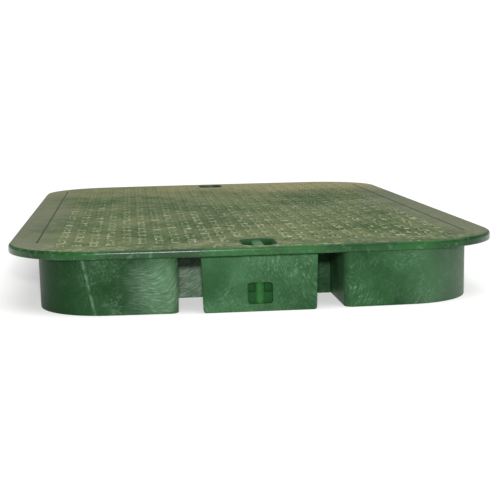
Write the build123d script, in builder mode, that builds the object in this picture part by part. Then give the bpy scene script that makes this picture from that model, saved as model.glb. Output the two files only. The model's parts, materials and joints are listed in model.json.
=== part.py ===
from build123d import *
import os

# Rectangular cover of an in-ground valve box: a ribbed deck plate with an overhanging flange,
# a deep skirt that plugs into the box, and a snap latch hanging in a bay at each short end.
# Origin: centre of the plan, on the plane of the skirt's foot. +X across, +Y along, +Z up.
# Everything is in millimetres.

# ---------------------------------------------------------------- driving dimensions
cover_height = 50.0            # foot of the skirt to the top of the deck
plate_width = 391.0
plate_length = 594.0           # along the cover, at the corners
end_bow = 6.5                  # how far each short end bulges out at its middle
plate_corner_radius = 73.0
flange_thickness = 7.0
panel_thickness = 5.0          # deck inside the skirt
rim_radius = 2.8               # rounded top edge of the flange

side_overhang = 24.4           # flange beyond the skirt, long sides
end_overhang = 2.4             # flange beyond the skirt, short ends
skirt_corner_radius = 56.0
wall_thickness = 5.0
draft_inset = 0.6              # each face leans in by this much at the foot
foot_radius = 0.9

bay_width = 126.0              # mouth of the latch bay in each short end
bay_depth = 69.0
bay_mouth_radius = 7.0
bay_inner_radius = 3.5

latch_top_width = 89.0
latch_bottom_width = 86.4
latch_thickness = 3.6
latch_corner_radius = 2.4
latch_top_gap = 0.3
latch_setback = 0.6            # latch face behind the bulge of the flange
latch_offset = -1.9            # the latch hangs a little left of the centre line
latch_edge_radius = 0.8        # softened edges of the latch's face and of its pocket

pocket_width = 19.0            # catch pocket in the latch's face
pocket_height = 16.0
pocket_bottom = 6.0
pocket_depth = 6.0
pocket_step_depth = 3.4        # lower half, where the box's catch rides in
pocket_step_height = 8.0
pocket_corner_radius = 2.4
pocket_wall = 2.6
catch_rib_radius = 4.0

lift_slot_width = 22.0         # finger recess near each short end
lift_slot_length = 40.0
lift_slot_roundness = 0.45     # corner radius over width
lift_lip_radius = 4.5
lift_edge_distance = 8.5       # from the end of the flange to the straight part of the slot
lift_cup_depth = 8.0           # inside the cup, below the flange's underside
lift_cup_wall = 2.5
lift_bar_width = 9.0
lift_bar_drop = 1.4            # top of the bar below the deck
lift_bar_height = 5.0

tread_pitch = 12.7
tread_columns = 25
tread_rows = 43
tread_cell_margin = 5.2        # from the last cell's centre to the edge of the field
tread_corner_radius = 34.0
tread_height = 0.8
tread_clearance_width = 40.0   # plain patch round each finger recess
tread_clearance_length = 62.0

groove_offset = 172.0          # witness groove over each long wall
groove_half_length = 244.0
groove_width = 1.6
groove_depth = 0.7

rib_thickness = 4.0
rib_depth = 22.0
cross_rib_pitch = 80.0
cross_rib_count = 5

# ---------------------------------------------------------------- derived levels and planes
flange_underside = cover_height - flange_thickness
panel_underside = cover_height - panel_thickness
plate_end = plate_length / 2 + end_bow

skirt_half_width = plate_width / 2 - side_overhang
skirt_half_length = plate_length / 2 - end_overhang
skirt_end = skirt_half_length + end_bow
bay_wall_outer = skirt_end - bay_depth
bay_wall_inner = bay_wall_outer - wall_thickness
bay_half_width = bay_width / 2

latch_face = plate_end - latch_setback
latch_back = latch_face - latch_thickness
latch_top = flange_underside - latch_top_gap
hinge_height = latch_top - latch_thickness / 2
hinge_distance = latch_face - latch_thickness / 2

lift_slot_outer = plate_end - lift_edge_distance
lift_slot_centre = lift_slot_outer - lift_slot_length / 2

ENDS = (("front", -1), ("rear", 1))
SIDES = (("left", -1), ("right", 1))

os.makedirs("parts", exist_ok=True)


def save_piece(piece, name):
    """Label a finished piece and write it to its own file."""
    piece.part.label = name
    export_step(piece.part, f"parts/{name}.step")


# ---------------------------------------------------------------- outlines in plan
def bowed_rectangle(half_width, half_length, corner_radius):
    """Rectangle with straight sides, ends that bulge out and round corners."""
    with BuildSketch() as outline:
        with BuildLine():
            for turn in (1, -1):
                ThreePointArc(
                    (-turn * half_width, -turn * half_length),
                    (0, -turn * (half_length + end_bow)),
                    (turn * half_width, -turn * half_length),
                )
                Line(
                    (turn * half_width, -turn * half_length),
                    (turn * half_width, turn * half_length),
                )
        make_face()
        fillet(outline.vertices(), corner_radius)
    return outline.sketch


def skirt_plan(inset):
    """Outline of the skirt with its two bays, drawn this far inside its outer face."""
    half_opening = bay_width / 2 + inset
    with BuildSketch() as plan:
        add(
            bowed_rectangle(
                skirt_half_width - inset,
                skirt_half_length - inset,
                skirt_corner_radius - inset,
            )
        )
        with Locations((0, skirt_end), (0, -skirt_end)):
            Rectangle(2 * half_opening, 2 * (bay_depth + inset), mode=Mode.SUBTRACT)
        bay_corners = [v for v in plan.vertices() if abs(abs(v.X) - half_opening) < 0.01]
        mouth_corners = [v for v in bay_corners if abs(v.Y) > skirt_end - bay_depth / 2]
        wall_corners = [v for v in bay_corners if abs(v.Y) < skirt_end - bay_depth / 2]
        fillet(mouth_corners, bay_mouth_radius - inset)
        fillet(wall_corners, bay_inner_radius + inset)
    return plan.sketch


plate_outline = bowed_rectangle(plate_width / 2, plate_length / 2, plate_corner_radius)
skirt_inside = skirt_plan(wall_thickness)

# ---------------------------------------------------------------- deck plate with its flange
with BuildPart() as deck_plate:
    with BuildSketch(Plane.XY.offset(flange_underside)):
        add(plate_outline)
    extrude(amount=flange_thickness)
    fillet(deck_plate.edges().group_by(Axis.Z)[-1], rim_radius)
    fillet(deck_plate.edges().group_by(Axis.Z)[0], foot_radius)
    with BuildSketch(Plane.XY.offset(flange_underside)):
        add(skirt_inside)
    extrude(amount=flange_thickness - panel_thickness, mode=Mode.SUBTRACT)
    with BuildSketch(Plane.XY.offset(cover_height)):
        with Locations((0, lift_slot_centre), (0, -lift_slot_centre)):
            RectangleRounded(
                lift_slot_width,
                lift_slot_length,
                lift_slot_width * lift_slot_roundness,
            )
    extrude(amount=-flange_thickness, mode=Mode.SUBTRACT)
    lips = [
        edge
        for edge in deck_plate.edges().group_by(Axis.Z)[-1]
        if abs(edge.center().X) < lift_slot_width
        and abs(edge.center().Y) < plate_end - rim_radius - 1
    ]
    fillet(lips, lift_lip_radius)
    with BuildSketch(Plane.XY.offset(cover_height)):
        with Locations((groove_offset, 0), (-groove_offset, 0)):
            SlotOverall(2 * groove_half_length, groove_width, rotation=90)
    extrude(amount=-groove_depth, mode=Mode.SUBTRACT)
save_piece(deck_plate, "deck_plate")

# ---------------------------------------------------------------- tread field on the deck
field_half_width = (tread_columns - 1) / 2 * tread_pitch + tread_cell_margin
field_half_length = (tread_rows - 1) / 2 * tread_pitch + tread_cell_margin

with BuildPart() as tread_field:
    with BuildSketch(Plane.XY.offset(cover_height)):
        RectangleRounded(2 * field_half_width, 2 * field_half_length, tread_corner_radius)
        with Locations((0, lift_slot_centre), (0, -lift_slot_centre)):
            RectangleRounded(
                tread_clearance_width,
                tread_clearance_length,
                tread_clearance_width * lift_slot_roundness,
                mode=Mode.SUBTRACT,
            )
    extrude(amount=tread_height)
save_piece(tread_field, "tread_field")

# ---------------------------------------------------------------- skirt, one ring cut into walls
with BuildPart() as skirt:
    for foot_inset, top_inset, mode in (
        (draft_inset, 0, Mode.ADD),
        (wall_thickness - draft_inset, wall_thickness, Mode.SUBTRACT),
    ):
        with BuildSketch():
            add(skirt_plan(foot_inset))
        with BuildSketch(Plane.XY.offset(flange_underside)):
            add(skirt_plan(top_inset))
        loft(ruled=True, mode=mode)
    fillet(skirt.edges().group_by(Axis.Z)[0], foot_radius)


def cut_from_skirt(name, x_limits, y_limits):
    """Keep the stretch of the skirt inside a window in plan, as a piece of its own."""
    with BuildPart() as wall:
        add(skirt.part)
        with BuildSketch():
            with Locations((sum(x_limits) / 2, sum(y_limits) / 2)):
                Rectangle(abs(x_limits[1] - x_limits[0]), abs(y_limits[1] - y_limits[0]))
        extrude(amount=flange_underside, mode=Mode.INTERSECT)
    save_piece(wall, name)


corner_start_x = skirt_half_width - skirt_corner_radius
corner_start_y = skirt_half_length - skirt_corner_radius
return_end = skirt_end - bay_mouth_radius - wall_thickness
return_start = bay_wall_outer + bay_inner_radius
return_reach = bay_half_width + wall_thickness + 1
beyond = 40.0                  # a window's outer margin, past every wall

for side_name, side in SIDES:
    cut_from_skirt(
        f"{side_name}_side_wall",
        (side * corner_start_x, side * (skirt_half_width + beyond)),
        (-corner_start_y, corner_start_y),
    )
    for end_name, end in ENDS:
        cut_from_skirt(
            f"{end_name}_{side_name}_corner_wall",
            (side * corner_start_x, side * (skirt_half_width + beyond)),
            (end * corner_start_y, end * (skirt_end + beyond)),
        )
        cut_from_skirt(
            f"{end_name}_{side_name}_end_wall",
            (side * (bay_half_width - 1), side * corner_start_x),
            (end * return_end, end * (skirt_end + beyond)),
        )
        cut_from_skirt(
            f"{end_name}_{side_name}_bay_return",
            (side * (bay_half_width - bay_inner_radius - 1), side * return_reach),
            (end * return_start, end * return_end),
        )

for end_name, end in ENDS:
    cut_from_skirt(
        f"{end_name}_bay_wall",
        (-return_reach, return_reach),
        (end * (bay_wall_inner - 1), end * return_start),
    )


# ---------------------------------------------------------------- stiffening ribs under the deck
def save_ribs(name, blocks):
    """Rectangular ribs hanging from the deck's underside, trimmed where they meet the skirt."""
    with BuildPart() as ribs:
        with BuildSketch(Plane.XY.offset(panel_underside)):
            for x_limits, y_limits in blocks:
                with Locations((sum(x_limits) / 2, sum(y_limits) / 2)):
                    Rectangle(abs(x_limits[1] - x_limits[0]), abs(y_limits[1] - y_limits[0]))
        extrude(amount=-rib_depth)
        add([skirt.part, deck_plate.part], mode=Mode.SUBTRACT)
    save_piece(ribs, name)


half_rib = rib_thickness / 2
side_wall_middle = skirt_half_width - wall_thickness / 2
long_rib_offset = bay_half_width + wall_thickness / 2
cross_rib_lines = [
    (index - (cross_rib_count - 1) / 2) * cross_rib_pitch for index in range(cross_rib_count)
]

for index, y in enumerate(cross_rib_lines, start=1):
    x_limits = (-side_wall_middle, side_wall_middle)
    save_ribs(f"cross_rib_{index}", [(x_limits, (y - half_rib, y + half_rib))])

# Each long rib is interrupted by the cross ribs, so it is a row of short walls.
rib_stops = [-bay_wall_inner - half_rib, *cross_rib_lines, bay_wall_inner + half_rib]
for name, x in (
    ("left_long_rib", -long_rib_offset),
    ("centre_long_rib", 0),
    ("right_long_rib", long_rib_offset),
):
    spans = [
        ((x - half_rib, x + half_rib), (start + half_rib, stop - half_rib))
        for start, stop in zip(rib_stops, rib_stops[1:])
    ]
    save_ribs(name, spans)

# Tie ribs carry each bay wall out to the side walls.
tie_line = bay_wall_outer - wall_thickness / 2
for end_name, end in ENDS:
    for side_name, side in SIDES:
        x_limits = (side * return_reach, side * side_wall_middle)
        y_limits = (end * (tie_line - half_rib), end * (tie_line + half_rib))
        save_ribs(f"{end_name}_{side_name}_tie_rib", [(x_limits, y_limits)])


# ---------------------------------------------------------------- finger recess cups and bars
def slot_plan(growth, y):
    """Outline of the finger slot, grown all round, centred at this y."""
    with BuildSketch() as plan:
        with Locations((0, y)):
            RectangleRounded(
                lift_slot_width + 2 * growth,
                lift_slot_length + 2 * growth,
                lift_slot_width * lift_slot_roundness + growth,
            )
    return plan.sketch


for end_name, end in ENDS:
    slot_y = end * lift_slot_centre

    with BuildPart() as lift_cup:
        with BuildSketch(Plane.XY.offset(flange_underside)):
            add(slot_plan(lift_cup_wall, slot_y))
        extrude(amount=-lift_cup_depth - lift_cup_wall)
        fillet(lift_cup.edges().group_by(Axis.Z)[0], lift_cup_wall * 0.7)
        with BuildSketch(Plane.XY.offset(flange_underside)):
            add(slot_plan(0, slot_y))
        extrude(amount=-lift_cup_depth, mode=Mode.SUBTRACT)
    save_piece(lift_cup, f"{end_name}_lift_cup")

    with BuildPart() as lift_bar:
        with BuildSketch(Plane.XZ.offset(-slot_y + lift_slot_length / 2 + lift_lip_radius)):
            with Locations((0, cover_height - lift_bar_drop - lift_bar_height / 2)):
                RectangleRounded(lift_bar_width, lift_bar_height, lift_bar_height * 0.4)
        extrude(amount=-lift_slot_length - 2 * lift_lip_radius)
        add(deck_plate.part, mode=Mode.SUBTRACT)
    save_piece(lift_bar, f"{end_name}_lift_bar")


# ---------------------------------------------------------------- snap latches
for end_name, end in ENDS:
    face_plane = Plane(
        origin=(latch_offset, end * latch_face, 0),
        x_dir=(-end, 0, 0),
        z_dir=(0, end, 0),
    )

    with BuildPart() as latch:
        # The tongue, a little wider at its root than at its free end.
        with BuildSketch(face_plane):
            with BuildLine():
                Polyline(
                    (-latch_bottom_width / 2, 0),
                    (latch_bottom_width / 2, 0),
                    (latch_top_width / 2, latch_top),
                    (-latch_top_width / 2, latch_top),
                    close=True,
                )
            make_face()
        extrude(amount=-latch_thickness)
        root_edges = latch.edges().group_by(Axis.Z)[-1].filter_by(Axis.X)
        fillet(root_edges, latch_thickness * 0.48)
        foot_corners = latch.edges().filter_by(Axis.Y).group_by(Axis.Z)[0]
        fillet(foot_corners, latch_corner_radius)
        # The box behind the catch pocket.
        pocket_centre = pocket_bottom + pocket_height / 2
        with BuildSketch(face_plane.offset(-latch_thickness)):
            with Locations((0, pocket_centre)):
                RectangleRounded(
                    pocket_width + 2 * pocket_wall,
                    pocket_height + 2 * pocket_wall,
                    pocket_corner_radius + pocket_wall,
                )
        extrude(amount=-(pocket_depth + pocket_wall - latch_thickness))
        # The pocket: deep above, shallower below its step.
        with BuildSketch(face_plane):
            with Locations((0, pocket_centre)):
                RectangleRounded(pocket_width, pocket_height, pocket_corner_radius)
        extrude(amount=-pocket_step_depth, mode=Mode.SUBTRACT)
        face_edges = latch.edges().group_by(Axis.Y)[0 if end < 0 else -1]
        soft_edges = [e for e in face_edges if e.center().Z < latch_top - latch_thickness]
        fillet(soft_edges, latch_edge_radius)
        with BuildSketch(face_plane.offset(-pocket_step_depth)):
            with Locations((0, pocket_centre + pocket_step_height / 2)):
                Rectangle(pocket_width - 1, pocket_height - pocket_step_height - 1)
        extrude(amount=-(pocket_depth - pocket_step_depth), mode=Mode.SUBTRACT)
    save_piece(latch, f"{end_name}_latch")

    with BuildPart() as catch_rib:
        rib_top = pocket_bottom + pocket_height
        with BuildSketch(Plane.XY.offset(pocket_bottom)):
            with Locations((latch_offset, end * (latch_face - pocket_depth))):
                Circle(catch_rib_radius)
        extrude(amount=pocket_height)
        add(latch.part, mode=Mode.SUBTRACT)
        with BuildSketch(face_plane.offset(-pocket_depth)):
            with Locations((0, pocket_centre)):
                Rectangle(pocket_width, 2 * pocket_height)
        extrude(amount=-catch_rib_radius * 2, mode=Mode.SUBTRACT)
    save_piece(catch_rib, f"{end_name}_catch_rib")

print("latch hinge line: height", hinge_height, "and", hinge_distance, "from the centre")
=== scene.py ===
import json
import math
import random

import bpy
import bmesh
from mathutils import Matrix, Vector


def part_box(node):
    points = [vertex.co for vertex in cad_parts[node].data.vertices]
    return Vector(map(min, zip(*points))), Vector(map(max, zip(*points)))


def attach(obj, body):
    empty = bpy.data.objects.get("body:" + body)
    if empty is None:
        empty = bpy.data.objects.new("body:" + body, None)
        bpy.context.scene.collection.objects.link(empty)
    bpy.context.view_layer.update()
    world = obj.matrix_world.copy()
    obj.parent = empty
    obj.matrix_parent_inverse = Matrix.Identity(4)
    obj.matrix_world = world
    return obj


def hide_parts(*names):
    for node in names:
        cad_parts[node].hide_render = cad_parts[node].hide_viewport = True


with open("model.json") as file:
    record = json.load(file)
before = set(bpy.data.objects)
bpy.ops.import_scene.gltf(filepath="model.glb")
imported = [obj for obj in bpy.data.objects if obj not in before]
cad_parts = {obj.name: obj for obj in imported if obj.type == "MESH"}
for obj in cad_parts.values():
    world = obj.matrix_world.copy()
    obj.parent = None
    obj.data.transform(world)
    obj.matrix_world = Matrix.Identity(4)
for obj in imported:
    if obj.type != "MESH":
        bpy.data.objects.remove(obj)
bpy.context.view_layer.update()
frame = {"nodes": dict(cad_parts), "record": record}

# Everything is in metres, in the frame of the CAD model.
MM = 0.001

# ---------------------------------------------------------------- places read from the frame
DECK_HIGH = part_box("deck_plate")[1]
FIELD_LOW, FIELD_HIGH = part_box("tread_field")
CUP_LOW, CUP_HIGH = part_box("front_lift_cup")
END_WALL_LOW, END_WALL_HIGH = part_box("front_left_end_wall")
LATCH_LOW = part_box("front_latch")[0]
BAY_WALL_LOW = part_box("front_bay_wall")[0]
DECK_TOP = DECK_HIGH[2]
HALF_WIDTH = DECK_HIGH[0]
HALF_LENGTH = DECK_HIGH[1]
LATCH_FACE = -LATCH_LOW[1]
GROOVE_LINE = 172 * MM         # witness groove's distance from the middle
GROOVE_END = 245 * MM


# ---------------------------------------------------------------- node helpers
class Shader:
    """A material's node tree, with short calls for the nodes used here.

    Noise scales are in features per metre. A span is the pair of limits that a ramp runs between.
    """

    def __init__(self, name):
        self.material = bpy.data.materials.new(name)
        self.material.use_nodes = True
        self.tree = self.material.node_tree
        self.surface = self.tree.nodes["Principled BSDF"]

    def node(self, kind, **settings):
        made = self.tree.nodes.new(kind)
        for key, value in settings.items():
            setattr(made, key, value)
        return made

    def feed(self, socket, value):
        """Link an output into a socket, or set the socket's own value."""
        if isinstance(value, bpy.types.NodeSocket):
            self.tree.links.new(value, socket)
        else:
            socket.default_value = value

    def place(self):
        """Position on the object, in metres."""
        return self.node("ShaderNodeTexCoord").outputs["Object"]

    def axis(self, vector, which):
        split = self.node("ShaderNodeSeparateXYZ")
        self.feed(split.inputs[0], vector)
        return split.outputs[which]

    def vector_math(self, operation, first, second):
        made = self.node("ShaderNodeVectorMath", operation=operation)
        self.feed(made.inputs[0], first)
        self.feed(made.inputs[1], second)
        return made

    def math(self, operation, first, second=0.0):
        made = self.node("ShaderNodeMath", operation=operation)
        self.feed(made.inputs[0], first)
        self.feed(made.inputs[1], second)
        return made.outputs[0]

    def times(self, first, second):
        return self.math("MULTIPLY", first, second)

    def plus(self, first, second):
        return self.math("ADD", first, second)

    def minus(self, first, second):
        return self.math("SUBTRACT", first, second)

    def distance_from(self, value, middle):
        return self.math("ABSOLUTE", self.minus(value, middle))

    def ramp(self, value, span, from_value=0.0, to_value=1.0):
        """Smooth ramp of a value between the two limits of a span, clamped."""
        made = self.node("ShaderNodeMapRange", interpolation_type="SMOOTHSTEP")
        self.feed(made.inputs["Value"], value)
        made.inputs["From Min"].default_value = span[0]
        made.inputs["From Max"].default_value = span[1]
        made.inputs["To Min"].default_value = from_value
        made.inputs["To Max"].default_value = to_value
        return made.outputs["Result"]

    def below(self, value, span):
        """1 under a span, 0 over it."""
        return self.ramp(value, span, from_value=1.0, to_value=0.0)

    def mix(self, share, first, second):
        made = self.node("ShaderNodeMix", data_type="RGBA")
        self.feed(made.inputs["Factor"], share)
        self.feed(made.inputs["A"], first)
        self.feed(made.inputs["B"], second)
        return made.outputs["Result"]

    def noise_node(self, vector, scale, detail, roughness):
        made = self.node("ShaderNodeTexNoise")
        self.feed(made.inputs["Vector"], vector)
        made.inputs["Scale"].default_value = scale
        made.inputs["Detail"].default_value = detail
        made.inputs["Roughness"].default_value = roughness
        return made

    def noise(self, vector, scale, detail=4.0, roughness=0.55):
        return self.noise_node(vector, scale, detail, roughness).outputs["Fac"]

    def warped(self, vector, scale, amount):
        """The vector, pushed about by a slow noise, so that what follows it swirls."""
        push = self.noise_node(vector, scale, detail=2.0, roughness=0.55).outputs["Color"]
        centred = self.vector_math("SUBTRACT", push, (0.5, 0.5, 0.5))
        sized = self.node("ShaderNodeVectorMath", operation="SCALE")
        self.feed(sized.inputs[0], centred.outputs[0])
        sized.inputs["Scale"].default_value = amount
        return self.vector_math("ADD", vector, sized.outputs[0]).outputs[0]

    def near(self, vector, centre, span):
        """1 close to a point, 0 past a span of distances from it."""
        return self.below(self.vector_math("DISTANCE", vector, centre).outputs["Value"], span)

    def bump(self, height, distance, strength, after=None):
        made = self.node("ShaderNodeBump")
        made.inputs["Strength"].default_value = strength
        made.inputs["Distance"].default_value = distance
        self.feed(made.inputs["Height"], height)
        if after is not None:
            self.feed(made.inputs["Normal"], after)
        return made.outputs["Normal"]

    def finish(self, colour, roughness, normal, specular):
        self.feed(self.surface.inputs["Base Color"], colour)
        self.feed(self.surface.inputs["Roughness"], roughness)
        self.feed(self.surface.inputs["Normal"], normal)
        self.surface.inputs["Specular IOR Level"].default_value = specular
        return self.material


def srgb(red, green, blue):
    """Display colour, 0 to 255, as the linear colour that shaders take."""
    linear = []
    for channel in (red, green, blue):
        value = channel / 255
        linear.append(value / 12.92 if value <= 0.04045 else ((value + 0.055) / 1.055) ** 2.4)
    return (*linear, 1.0)


def dress(obj, material):
    """Give every slot of an object one material."""
    if not obj.material_slots:
        obj.data.materials.append(material)
    for material_slot in obj.material_slots:
        material_slot.material = material


# ---------------------------------------------------------------- green plastic, for all but the deck
# Dark green: painted shade inside the latch's pocket, and the clean green of the front finger recess's
# walls.
POCKET_GREEN = srgb(20, 62, 24)
CLOUD_SCALE = 17.0
CLOUD_SWIRL = 12.0
CLOUD_SPAN = (0.36, 0.64)
# Painted shade darkens every moulding towards the left end; painted light makes it paler and greyer
# towards the right end.
SHADED_END = (-HALF_WIDTH * 0.88, -HALF_WIDTH * 0.5)
LIT_END = (HALF_WIDTH * 0.5, HALF_WIDTH * 0.9)
FLOW_ACROSS = 340.0            # how closely the flow marks lie
FLOW_ALONG = 150.0             # how soon one of them ends
FLOW_SPAN = (0.47, 0.72)
RISING = (3.0, 4.0, -7.0)      # the two ways that the flow marks lean
RISING_SWIRL = 10.0
FALLING = (10.0, -6.0, 3.0)
FALLING_SWIRL = 12.0
REGION_SCALE = 21.0            # where the rising marks show at all
REGION_SPAN = (0.45, 0.55)
PATCH_SCALE = 34.0             # where the marks are strong
SPECKLE_SCALE = 420.0          # the broken look of a single mark
SPECKLE_SPAN = (0.35, 0.62)
RUB_SWIRL = 40.0
RUB_CORE = 0.15                # share of a rubbed patch's radius that is fully rubbed
SHADE_AND_CLEAN_DEPTH = 0.9 * MM         # over which scuffed plastic turns to painted shade and clean green
SCRATCH_FOOT = -126.6 * MM     # across, at the foot
SCRATCH_SLOPE = -0.2
SCRATCH_SPAN = (0.2 * MM, 1.8 * MM)
SCRATCH_BREAKS = 160.0         # scale of the gaps in it
SCRATCH_BREAK_SPAN = (0.35, 0.65)
WAVE_SCALE = 26.0
WAVE_HEIGHT = 0.8 * MM
GRAIN_SCALE = 1100.0
GRAIN_HEIGHT = 0.08 * MM
MARK_HEIGHT = 0.12 * MM
SCUFF_ROUGHENING = 0.2


def flow_marks(shader, place, swirl, lean):
    """Streaks along the contours of a leaning slope bent by slow noise, as plastic flows."""
    bend = shader.noise(place, swirl, detail=1.0, roughness=0.4)
    slope = shader.vector_math("DOT_PRODUCT", place, lean).outputs["Value"]
    stretched = shader.node("ShaderNodeMapping")
    shader.feed(stretched.inputs["Vector"], place)
    stretched.inputs["Scale"].default_value = (FLOW_ALONG, FLOW_ALONG, FLOW_ALONG)
    streaks = shader.node("ShaderNodeTexNoise", noise_dimensions="4D")
    shader.feed(streaks.inputs["Vector"], stretched.outputs["Vector"])
    shader.feed(streaks.inputs["W"], shader.times(shader.plus(bend, slope), FLOW_ACROSS))
    streaks.inputs["Scale"].default_value = 1.0
    streaks.inputs["Detail"].default_value = 4.0
    streaks.inputs["Roughness"].default_value = 0.6
    return shader.ramp(streaks.outputs["Fac"], FLOW_SPAN)


def scratch(shader, place, colour, pale):
    """One long, broken, pale scratch that leans down a wall."""
    slant = shader.times(shader.axis(place, "Z"), SCRATCH_SLOPE)
    off_line = shader.distance_from(shader.minus(shader.axis(place, "X"), slant), SCRATCH_FOOT)
    broken = shader.noise(place, SCRATCH_BREAKS, detail=3.0)
    ragged = shader.ramp(broken, SCRATCH_BREAK_SPAN, 0.02, 0.36)
    return shader.mix(shader.times(shader.below(off_line, SCRATCH_SPAN), ragged), colour, pale)


def green_plastic(
    name, dark, middle, light, scuff, roughness, rubbed=None, shade_and_clean_behind=None, scratched=False
):
    """Satin green moulding: cloudy colour, curving flow marks, hairline scuffs and a faint grain.

    rubbed is the centre and radius of a patch worn pale. shade_and_clean_behind is the distance from the
    middle of the cover below which the colour turns dark green: painted shade inside the latch's pocket,
    clean unrubbed plastic on its sides and back.
    scratched adds one long pale scratch down the front left corner.
    """
    shader = Shader(name)
    place = shader.place()
    across = shader.axis(place, "X")

    swirled = shader.warped(place, CLOUD_SWIRL, amount=0.05)
    clouds = shader.noise(swirled, CLOUD_SCALE, detail=5.0, roughness=0.62)
    body = shader.mix(shader.ramp(clouds, CLOUD_SPAN), dark, middle)
    # Painted shade: darker towards the left end. Painted light: paler and greyer towards the right end.
    shaded = shader.ramp(across, SHADED_END, 0.95, 0.0)
    body = shader.mix(shaded, body, dark)
    body = shader.mix(shader.ramp(across, LIT_END, 0.0, 0.3), body, light)

    rising = flow_marks(shader, place, RISING_SWIRL, RISING)
    falling = flow_marks(shader, place, FALLING_SWIRL, FALLING)
    region = shader.ramp(shader.noise(place, REGION_SCALE, detail=2.0), REGION_SPAN)
    hairs = shader.math("MAXIMUM", shader.times(rising, region), falling)
    patches = shader.ramp(shader.noise(place, PATCH_SCALE), CLOUD_SPAN, 0.15, 1.0)
    speckle = shader.noise(place, SPECKLE_SCALE, detail=3.0, roughness=0.7)
    speckle = shader.ramp(speckle, SPECKLE_SPAN, 0.2, 1.2)
    scuffed = shader.times(shader.times(hairs, shader.times(patches, speckle)), scuff)
    # Painted shade also fades the scuffs towards the left end.
    scuffed = shader.times(scuffed, shader.minus(1.0, shaded))
    if rubbed is not None:
        centre, radius = rubbed
        pushed = shader.warped(place, RUB_SWIRL, amount=0.025)
        spot = shader.near(pushed, centre, (radius * RUB_CORE, radius))
        streaks = shader.plus(shader.times(rising, 0.85), 0.22)
        scuffed = shader.math("MAXIMUM", scuffed, shader.times(spot, streaks))
    colour = shader.mix(shader.math("MINIMUM", scuffed, 1.0), body, light)
    if scratched:
        colour = scratch(shader, place, colour, light)
    # Painted shade inside the latch's pocket, with clean unrubbed green on its sides and back.
    if shade_and_clean_behind is not None:
        depth = shader.math("ABSOLUTE", shader.axis(place, "Y"))
        shade_and_clean = shader.below(depth, (shade_and_clean_behind - SHADE_AND_CLEAN_DEPTH, shade_and_clean_behind))
        colour = shader.mix(shade_and_clean, colour, POCKET_GREEN)

    waves = shader.noise(place, WAVE_SCALE, detail=1.0)
    normal = shader.bump(waves, WAVE_HEIGHT, strength=0.5)
    grain = shader.noise(place, GRAIN_SCALE, detail=2.0)
    normal = shader.bump(grain, GRAIN_HEIGHT, strength=0.5, after=normal)
    normal = shader.bump(hairs, MARK_HEIGHT, strength=0.6, after=normal)
    rough = shader.ramp(scuffed, (0.0, 1.0), roughness, roughness + SCUFF_ROUGHENING)
    return shader.finish(colour, rough, normal, specular=0.1)


# ---------------------------------------------------------------- the deck and its tread
RIM_DARK = srgb(14, 50, 17)
RIM_GREEN = srgb(30, 78, 33)
RIM_PALE = srgb(104, 138, 106)
DECK_GREEN = srgb(58, 82, 42)
DECK_OLIVE = srgb(98, 109, 72)
DECK_GREY = srgb(106, 110, 90)
DECK_TAN = srgb(146, 140, 100)
DECK_PALE = srgb(148, 150, 120)
DECK_DARK = srgb(40, 58, 30)
TREAD_PALE = srgb(198, 200, 168)
GROOVE_DIRT = srgb(64, 60, 26)
RIM_CLOUD_SCALE = 16.0
FROST_SCALE = 260.0
FROST_SPAN = (0.52, 0.75)
STAIN_SCALE = 15.0
STAIN_SWIRL = 7.0
STAIN_SPAN = (0.38, 0.62)
BORDER = (HALF_WIDTH * 0.72, HALF_WIDTH * 0.95)      # grey dust thickens outwards
REAR = (HALF_LENGTH * 0.35, HALF_LENGTH * 0.85)      # tan dirt thickens towards the rear
REAR_DUST_SIDE = (-HALF_WIDTH * 0.6, HALF_WIDTH * 0.2)
REAR_RECESS = (0.0, HALF_LENGTH * 0.5)               # past it a finger recess is the dusty rear one
WANDER_SCALE = 12.0
WANDER = 0.16                  # how far the stained regions stray from their places
SPECK_SCALE = 330.0
PALE_SPECK_SPAN = (0.5, 0.78)
DARK_SPECK_SPAN = (0.24, 0.44)
RUB_SCALE = 170.0
RUB_SPAN = (0.47, 0.68)
RUBBED_FRONT = (-HALF_LENGTH, HALF_LENGTH * 0.4)
CHIP_SCALE = 190.0
CHIP_SPAN = (0.5, 0.64)
CHIPPED_FRONT = (-HALF_LENGTH, -HALF_LENGTH * 0.75)
RECESS_SIDE = (18 * MM, 22 * MM)
RECESS_END = (HALF_LENGTH - 10 * MM, HALF_LENGTH - 6 * MM)
TOP_FACE = (DECK_TOP - 0.5 * MM, DECK_TOP - 0.1 * MM)
BAR_TOPS = (DECK_TOP + 0.3 * MM, DECK_TOP + 0.75 * MM)
GROOVE_SIDE = (0.9 * MM, 1.3 * MM)
GROOVE_TOP = (DECK_TOP - 0.2 * MM, DECK_TOP - 0.02 * MM)
DIRT_CHANGE = (-100 * MM, 100 * MM)     # brown dirt in the left groove, grey in the right one
DECK_WAVE_SCALE = 24.0
DECK_WAVE_HEIGHT = 1.6 * MM
DECK_GRAIN_SCALE = 700.0
DECK_GRAIN_HEIGHT = 0.12 * MM
RIM_ROUGHNESS = 0.27
TOP_ROUGHNESS = 0.68


def clean_green(shader, place, along, recessed):
    """Frosted green of the rim, and the deeper green inside the finger recesses."""
    clouds = shader.noise(place, RIM_CLOUD_SCALE, detail=5.0, roughness=0.6)
    clean = shader.mix(shader.ramp(clouds, STAIN_SPAN), RIM_DARK, RIM_GREEN)
    frost = shader.ramp(shader.noise(place, FROST_SCALE, roughness=0.7), FROST_SPAN)
    clean = shader.mix(shader.times(frost, 0.3), clean, RIM_PALE)
    dusty = shader.ramp(along, REAR_RECESS)
    return shader.mix(recessed, clean, shader.mix(dusty, POCKET_GREEN, DECK_DARK))


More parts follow.
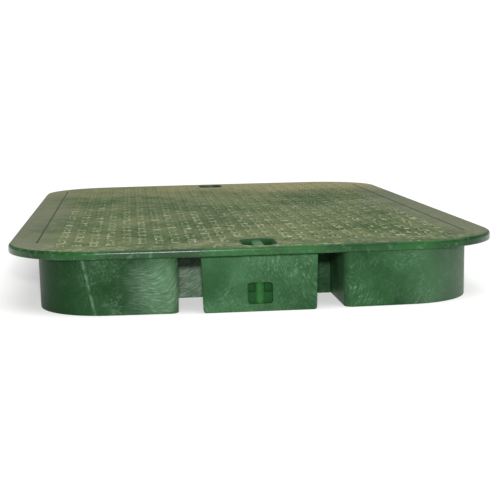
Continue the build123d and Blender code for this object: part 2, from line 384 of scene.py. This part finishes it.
def weather_film(shader, place, across, along):
    """Sun and dust on the flat top: green blotches, a grey border and tan dirt at the rear."""
    swirled = shader.warped(place, STAIN_SWIRL, amount=0.09)
    stains = shader.noise(swirled, STAIN_SCALE, detail=6.0, roughness=0.68)
    film = shader.mix(shader.ramp(stains, STAIN_SPAN), DECK_GREEN, DECK_OLIVE)
    ragged = shader.noise(place, WANDER_SCALE, roughness=0.6)
    wobble = shader.times(shader.minus(ragged, 0.5), WANDER)
    reach = shader.plus(shader.math("ABSOLUTE", across), wobble)
    film = shader.mix(shader.ramp(reach, BORDER, 0.0, 0.75), film, DECK_GREY)
    rear = shader.ramp(shader.plus(along, wobble), REAR)
    right = shader.ramp(across, REAR_DUST_SIDE, 0.35, 1.0)
    film = shader.mix(shader.times(shader.times(rear, right), 0.75), film, DECK_TAN)
    specks = shader.noise(place, SPECK_SCALE, roughness=0.75)
    film = shader.mix(shader.ramp(specks, PALE_SPECK_SPAN, 0.0, 0.5), film, DECK_PALE)
    return shader.mix(shader.ramp(specks, DARK_SPECK_SPAN, 0.55, 0.0), film, DECK_DARK)


def worn_tops(shader, place, along, height, film):
    """Pale rubbed patches on the tops of the tread bars, most of all near the front."""
    rubbed = shader.ramp(shader.noise(place, RUB_SCALE, roughness=0.65), RUB_SPAN)
    near_front = shader.ramp(along, RUBBED_FRONT, 0.8, 0.3)
    share = shader.times(rubbed, near_front)
    return shader.mix(shader.times(share, shader.ramp(height, BAR_TOPS)), film, TREAD_PALE)


def groove_mask(shader, across, along, height):
    """1 inside the two witness grooves, 0 elsewhere."""
    off_line = shader.distance_from(shader.math("ABSOLUTE", across), GROOVE_LINE)
    mask = shader.times(shader.below(off_line, GROOVE_SIDE), shader.below(height, GROOVE_TOP))
    past_end = (GROOVE_END, GROOVE_END + 1 * MM)
    return shader.times(mask, shader.below(shader.math("ABSOLUTE", along), past_end))


def deck_plastic(name, worn):
    """The deck: clean green on its edge and in its openings, dulled by dust and sun on top."""
    shader = Shader(name)
    place = shader.place()
    across = shader.axis(place, "X")
    along = shader.axis(place, "Y")
    height = shader.axis(place, "Z")
    recessed = shader.times(
        shader.below(shader.math("ABSOLUTE", across), RECESS_SIDE),
        shader.below(shader.math("ABSOLUTE", along), RECESS_END),
    )
    film = weather_film(shader, place, across, along)
    if worn:
        film = worn_tops(shader, place, along, height, film)
    chips = shader.ramp(shader.noise(place, CHIP_SCALE, roughness=0.7), CHIP_SPAN)
    chipped = shader.ramp(along, CHIPPED_FRONT, 0.9, 0.15)
    film = shader.mix(shader.times(chips, chipped), film, DECK_PALE)

    flat = shader.ramp(height, TOP_FACE)
    colour = shader.mix(flat, clean_green(shader, place, along, recessed), film)
    dirt = shader.mix(shader.ramp(across, DIRT_CHANGE), GROOVE_DIRT, DECK_GREY)
    colour = shader.mix(groove_mask(shader, across, along, height), colour, dirt)

    waves = shader.noise(place, DECK_WAVE_SCALE, detail=1.0)
    normal = shader.bump(waves, DECK_WAVE_HEIGHT, strength=0.6)
    grain = shader.noise(place, DECK_GRAIN_SCALE, detail=3.0)
    normal = shader.bump(grain, DECK_GRAIN_HEIGHT, strength=0.7, after=normal)
    dull = shader.math("MAXIMUM", flat, recessed)
    rough = shader.ramp(dull, (0.0, 1.0), RIM_ROUGHNESS, TOP_ROUGHNESS)
    return shader.finish(colour, rough, normal, specular=0.25)


# ---------------------------------------------------------------- the materials
SKIRT_GREENS = dict(dark=srgb(12, 48, 16), middle=srgb(36, 74, 40), light=srgb(118, 146, 122), scuff=0.55)
RUB_INSET = 14 * MM            # from the side edge of the wall that it is on
END_RUB_RADIUS = 36 * MM
END_RUB_DROP = 4 * MM          # below the wall's mid-height
END_RUB_PLACE = (
    END_WALL_HIGH[0] - RUB_INSET,
    END_WALL_LOW[1],
    (END_WALL_LOW[2] + END_WALL_HIGH[2]) / 2 - END_RUB_DROP,
)
BAY_RUB_RADIUS = 44 * MM
BAY_RUB_HEIGHT = 16 * MM
BAY_RUB_PLACE = (BAY_WALL_LOW[0] + RUB_INSET, BAY_WALL_LOW[1], BAY_RUB_HEIGHT)
LATCH_EDGE_RADIUS = 0.8 * MM

SKIRT = green_plastic("skirt_green", **SKIRT_GREENS, roughness=0.42)
RUBBED_SKIRT = green_plastic(
    "skirt_green_rubbed", **SKIRT_GREENS, roughness=0.45, rubbed=(END_RUB_PLACE, END_RUB_RADIUS)
)
SCRATCHED_SKIRT = green_plastic(
    "skirt_green_scratched", **SKIRT_GREENS, roughness=0.42, scratched=True
)
BAY_WALL = green_plastic(
    "skirt_green_bay",
    dark=srgb(16, 52, 22),
    middle=srgb(36, 72, 44),
    light=srgb(150, 166, 148),
    scuff=0.4,
    roughness=0.55,
    rubbed=(BAY_RUB_PLACE, BAY_RUB_RADIUS),
)
LATCH = green_plastic(
    "latch_green",
    dark=srgb(26, 62, 30),
    middle=srgb(46, 84, 51),
    light=srgb(108, 140, 111),
    scuff=0.6,
    roughness=0.48,
    shade_and_clean_behind=LATCH_FACE - LATCH_EDGE_RADIUS,
)
CATCH_RIB = green_plastic(
    "latch_green_rib",
    dark=srgb(28, 76, 32),
    middle=srgb(42, 92, 46),
    light=srgb(96, 136, 98),
    scuff=0.3,
    roughness=0.4,
)
RIBS = green_plastic(
    "rib_green",
    dark=srgb(20, 52, 24),
    middle=srgb(36, 70, 40),
    light=srgb(96, 122, 98),
    scuff=0.3,
    roughness=0.45,
)
RECESS = green_plastic(
    "recess_green",
    dark=srgb(12, 62, 18),
    middle=srgb(22, 80, 26),
    light=srgb(62, 112, 64),
    scuff=0.2,
    roughness=0.5,
)
LIFT_BAR = green_plastic(
    "recess_green_bar",
    dark=srgb(34, 80, 38),
    middle=srgb(66, 108, 66),
    light=srgb(128, 154, 122),
    scuff=0.8,
    roughness=0.55,
)
DUSTY_RECESS = green_plastic(
    "recess_green_dusty",
    dark=srgb(44, 58, 40),
    middle=srgb(62, 76, 54),
    light=srgb(96, 104, 84),
    scuff=0.3,
    roughness=0.6,
)
DECK = deck_plastic("deck_green", worn=False)
TREAD = deck_plastic("tread_green", worn=True)

SLOT_MATERIALS = {
    "skirt_green": SKIRT,
    "latch_green": LATCH,
    "rib_green": RIBS,
    "recess_green": RECESS,
    "deck_green": DECK,
    "tread_green": TREAD,
}
NODE_MATERIALS = {
    "front_left_end_wall": RUBBED_SKIRT,
    "front_left_corner_wall": SCRATCHED_SKIRT,
    "front_catch_rib": CATCH_RIB,
    "rear_catch_rib": CATCH_RIB,
    "front_bay_wall": BAY_WALL,
    "rear_bay_wall": BAY_WALL,
    "front_lift_bar": LIFT_BAR,
    "rear_lift_bar": DUSTY_RECESS,
    "rear_lift_cup": DUSTY_RECESS,
}

for part in frame["record"]["subparts"]:
    usual = SLOT_MATERIALS[part["material_slot"]]
    dress(frame["nodes"][part["node"]], NODE_MATERIALS.get(part["node"], usual))


# ---------------------------------------------------------------- tread bars
TREAD_PITCH = 12.7 * MM
TREAD_COLUMNS = 25
TREAD_ROWS = 43
TREAD_SEED = 7
BAR_LENGTH = 8.6 * MM
BAR_WIDTH = 2.3 * MM
BAR_SPACING = 4.4 * MM
BAR_HEIGHT = FIELD_HIGH[2] - FIELD_LOW[2]
BAR_SINK = 0.2 * MM
BAR_END_STEPS = 4
BAR_LOWEST = 0.82              # share of the full height that the most worn bar keeps
BAR_WEAR = 0.12 * MM           # the most that a bar's shoulder is worn back
PLAIN_BESIDE = 6.5 * MM        # plain deck beside and behind a finger recess's cup
PLAIN_BEHIND = 9.5 * MM


def bar_ring(length, width):
    """Outline of one bar about its centre: straight sides and half-round ends."""
    radius = width / 2
    reach = length / 2 - radius
    ring = []
    for end in (1, -1):
        for step in range(BAR_END_STEPS + 1):
            angle = -math.pi / 2 + math.pi * step / BAR_END_STEPS
            ring.append((end * (reach + radius * math.cos(angle)), end * radius * math.sin(angle)))
    return ring


def add_bar(mesh, centre, along_y, height, wear):
    """One raised bar: a flared foot, a rounded shoulder and a flat top."""
    # Each level's height, and how far its outline stands out from the nominal bar.
    levels = (
        (-BAR_SINK, 0.45 * MM),
        (0.35 * height, 0.12 * MM),
        (0.78 * height, -0.1 * MM - wear),
        (height, -0.45 * MM - wear),
    )
    rings = []
    for level, growth in levels:
        ring = []
        for x, y in bar_ring(BAR_LENGTH + 2 * growth, BAR_WIDTH + 2 * growth):
            if along_y:
                x, y = -y, x
            ring.append(mesh.verts.new((centre[0] + x, centre[1] + y, DECK_TOP + level)))
        rings.append(ring)
    for lower, upper in zip(rings, rings[1:]):
        count = len(lower)
        for index in range(count):
            following = (index + 1) % count
            mesh.faces.new((lower[index], lower[following], upper[following], upper[index]))
    mesh.faces.new(rings[-1])
    mesh.faces.new(reversed(rings[0]))


def near_finger_recess(x, y):
    """True where the deck is left plain round a finger recess."""
    half_width = (CUP_HIGH[0] - CUP_LOW[0]) / 2 + PLAIN_BESIDE
    start = abs(CUP_HIGH[1]) - PLAIN_BEHIND
    return abs(x) < half_width and abs(y) > start


def tread_bars():
    """The chequered tread: pairs of bars, turned a quarter from each cell to the next."""
    draw = random.Random(TREAD_SEED)
    mesh = bmesh.new()
    for column in range(TREAD_COLUMNS):
        for row in range(TREAD_ROWS):
            x = (column - (TREAD_COLUMNS - 1) / 2) * TREAD_PITCH
            y = (row - (TREAD_ROWS - 1) / 2) * TREAD_PITCH
            height = BAR_HEIGHT * draw.uniform(BAR_LOWEST, 1.0)
            wear = draw.uniform(0.0, 1.0) * BAR_WEAR
            if near_finger_recess(x, y):
                continue
            along_y = (column + row) % 2 == 0
            for side in (-1, 1):
                offset = side * BAR_SPACING / 2
                centre = (x + offset, y) if along_y else (x, y + offset)
                add_bar(mesh, centre, along_y, height, wear)
    data = bpy.data.meshes.new("tread_bars")
    mesh.to_mesh(data)
    mesh.free()
    data.shade_smooth()
    bars = bpy.data.objects.new("tread_bars", data)
    bpy.context.scene.collection.objects.link(bars)
    dress(bars, TREAD)
    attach(bars, "cover")
    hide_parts("tread_field")


tread_bars()


# ---------------------------------------------------------------- floor, light and camera
FLOOR_SIZE = 14.0              # from the middle to each edge
FLOOR_GLOW = 0.42              # the floor shines a little, as a light table does, so shadows stay pale
WHITE = (1, 1, 1, 1)
AMBIENT = 0.35
BACKDROP = 1.02
FLASH_ABOVE_LENS = 110 * MM
FLASH_SIZE = 50 * MM
FLASH_POWER = 8.0
SKY_AZIMUTH = 80               # degrees, like the next two
SKY_ELEVATION = 76
SKY_SPREAD = 70
SKY_STRENGTH = 2.2
FLOOR_GRAIN_SCALE = 3.0


def studio_floor():
    """A plain pale floor that the cover stands on."""
    data = bpy.data.meshes.new("floor")
    corners = [(x * FLOOR_SIZE, y * FLOOR_SIZE, 0) for x, y in ((-1, -1), (1, -1), (1, 1), (-1, 1))]
    data.from_pydata(corners, [], [(0, 1, 2, 3)])
    floor = bpy.data.objects.new("floor", data)
    bpy.context.scene.collection.objects.link(floor)
    shader = Shader("floor_white")
    grain = shader.noise(shader.place(), FLOOR_GRAIN_SCALE)
    colour = shader.mix(grain, srgb(206, 206, 205), srgb(212, 212, 211))
    shader.feed(shader.surface.inputs["Base Color"], colour)
    shader.surface.inputs["Roughness"].default_value = 0.8
    shader.surface.inputs["Specular IOR Level"].default_value = 0.0
    shader.surface.inputs["Emission Color"].default_value = WHITE
    shader.surface.inputs["Emission Strength"].default_value = FLOOR_GLOW
    dress(floor, shader.material)


def studio_world(ambient, backdrop):
    """Even white surroundings, with their own brightness behind the object."""
    world = bpy.data.worlds.new("studio")
    bpy.context.scene.world = world
    world.use_nodes = True
    tree = world.node_tree
    background = tree.nodes["Background"]
    background.inputs["Color"].default_value = WHITE
    seen = tree.nodes.new("ShaderNodeLightPath").outputs["Is Camera Ray"]
    strength = tree.nodes.new("ShaderNodeMapRange")
    tree.links.new(seen, strength.inputs["Value"])
    strength.inputs["To Min"].default_value = ambient
    strength.inputs["To Max"].default_value = backdrop
    tree.links.new(strength.outputs["Result"], background.inputs["Strength"])


def aim(light, direction):
    """Turn a light so that it shines from this direction."""
    light.rotation_euler = direction.to_track_quat("Z", "Y").to_euler()
    bpy.context.scene.collection.objects.link(light)


def flash(place, target, size, power):
    """A small square lamp near the camera, as a camera's own flash is."""
    data = bpy.data.lights.new("flash", "AREA")
    data.size = size
    data.energy = power
    light = bpy.data.objects.new("flash", data)
    light.location = place
    aim(light, place - target)


def soft_sky(azimuth, elevation, strength, spread):
    """A very wide, even light from high up; azimuth 0 is in front of the short end."""
    data = bpy.data.lights.new("soft_sky", "SUN")
    data.energy = strength
    data.angle = math.radians(spread)
    light = bpy.data.objects.new("soft_sky", data)
    turn = math.radians(azimuth)
    tilt = math.radians(elevation)
    across = math.sin(turn) * math.cos(tilt)
    along = -math.cos(turn) * math.cos(tilt)
    aim(light, Vector((across, along, math.sin(tilt))))


CAMERA_PLACE = Vector((-96.2, -1185.1, 166.8)) * MM
CAMERA_YAW = 0.0991            # towards +X, in radians like the next two
CAMERA_PITCH = 0.1349          # downwards
CAMERA_ROLL = -0.0202
CAMERA_SENSOR = 36.0           # Blender takes this and the lens in millimetres
CAMERA_LENS = 85.3


def photo_camera():
    """The camera, near the end of the cover and low, with a portrait lens."""
    data = bpy.data.cameras.new("camera")
    data.sensor_width = CAMERA_SENSOR
    data.lens = CAMERA_LENS
    camera = bpy.data.objects.new("camera", data)
    ahead = Vector(
        (
            math.sin(CAMERA_YAW) * math.cos(CAMERA_PITCH),
            math.cos(CAMERA_YAW) * math.cos(CAMERA_PITCH),
            -math.sin(CAMERA_PITCH),
        )
    )
    level = Vector((math.cos(CAMERA_YAW), -math.sin(CAMERA_YAW), 0))
    above = level.cross(ahead)
    right = level * math.cos(CAMERA_ROLL) + above * math.sin(CAMERA_ROLL)
    up = above * math.cos(CAMERA_ROLL) - level * math.sin(CAMERA_ROLL)
    turned = Matrix((right, up, -ahead)).transposed()
    camera.matrix_world = Matrix.Translation(CAMERA_PLACE) @ turned.to_4x4()
    bpy.context.scene.collection.objects.link(camera)
    bpy.context.scene.camera = camera


studio_floor()
studio_world(AMBIENT, BACKDROP)
flash(
    CAMERA_PLACE + Vector((0, 0, FLASH_ABOVE_LENS)),
    Vector((0, LATCH_LOW[1], 0)),
    FLASH_SIZE,
    FLASH_POWER,
)
soft_sky(SKY_AZIMUTH, SKY_ELEVATION, SKY_STRENGTH, SKY_SPREAD)
photo_camera()
bpy.context.scene.view_settings.view_transform = "Standard"
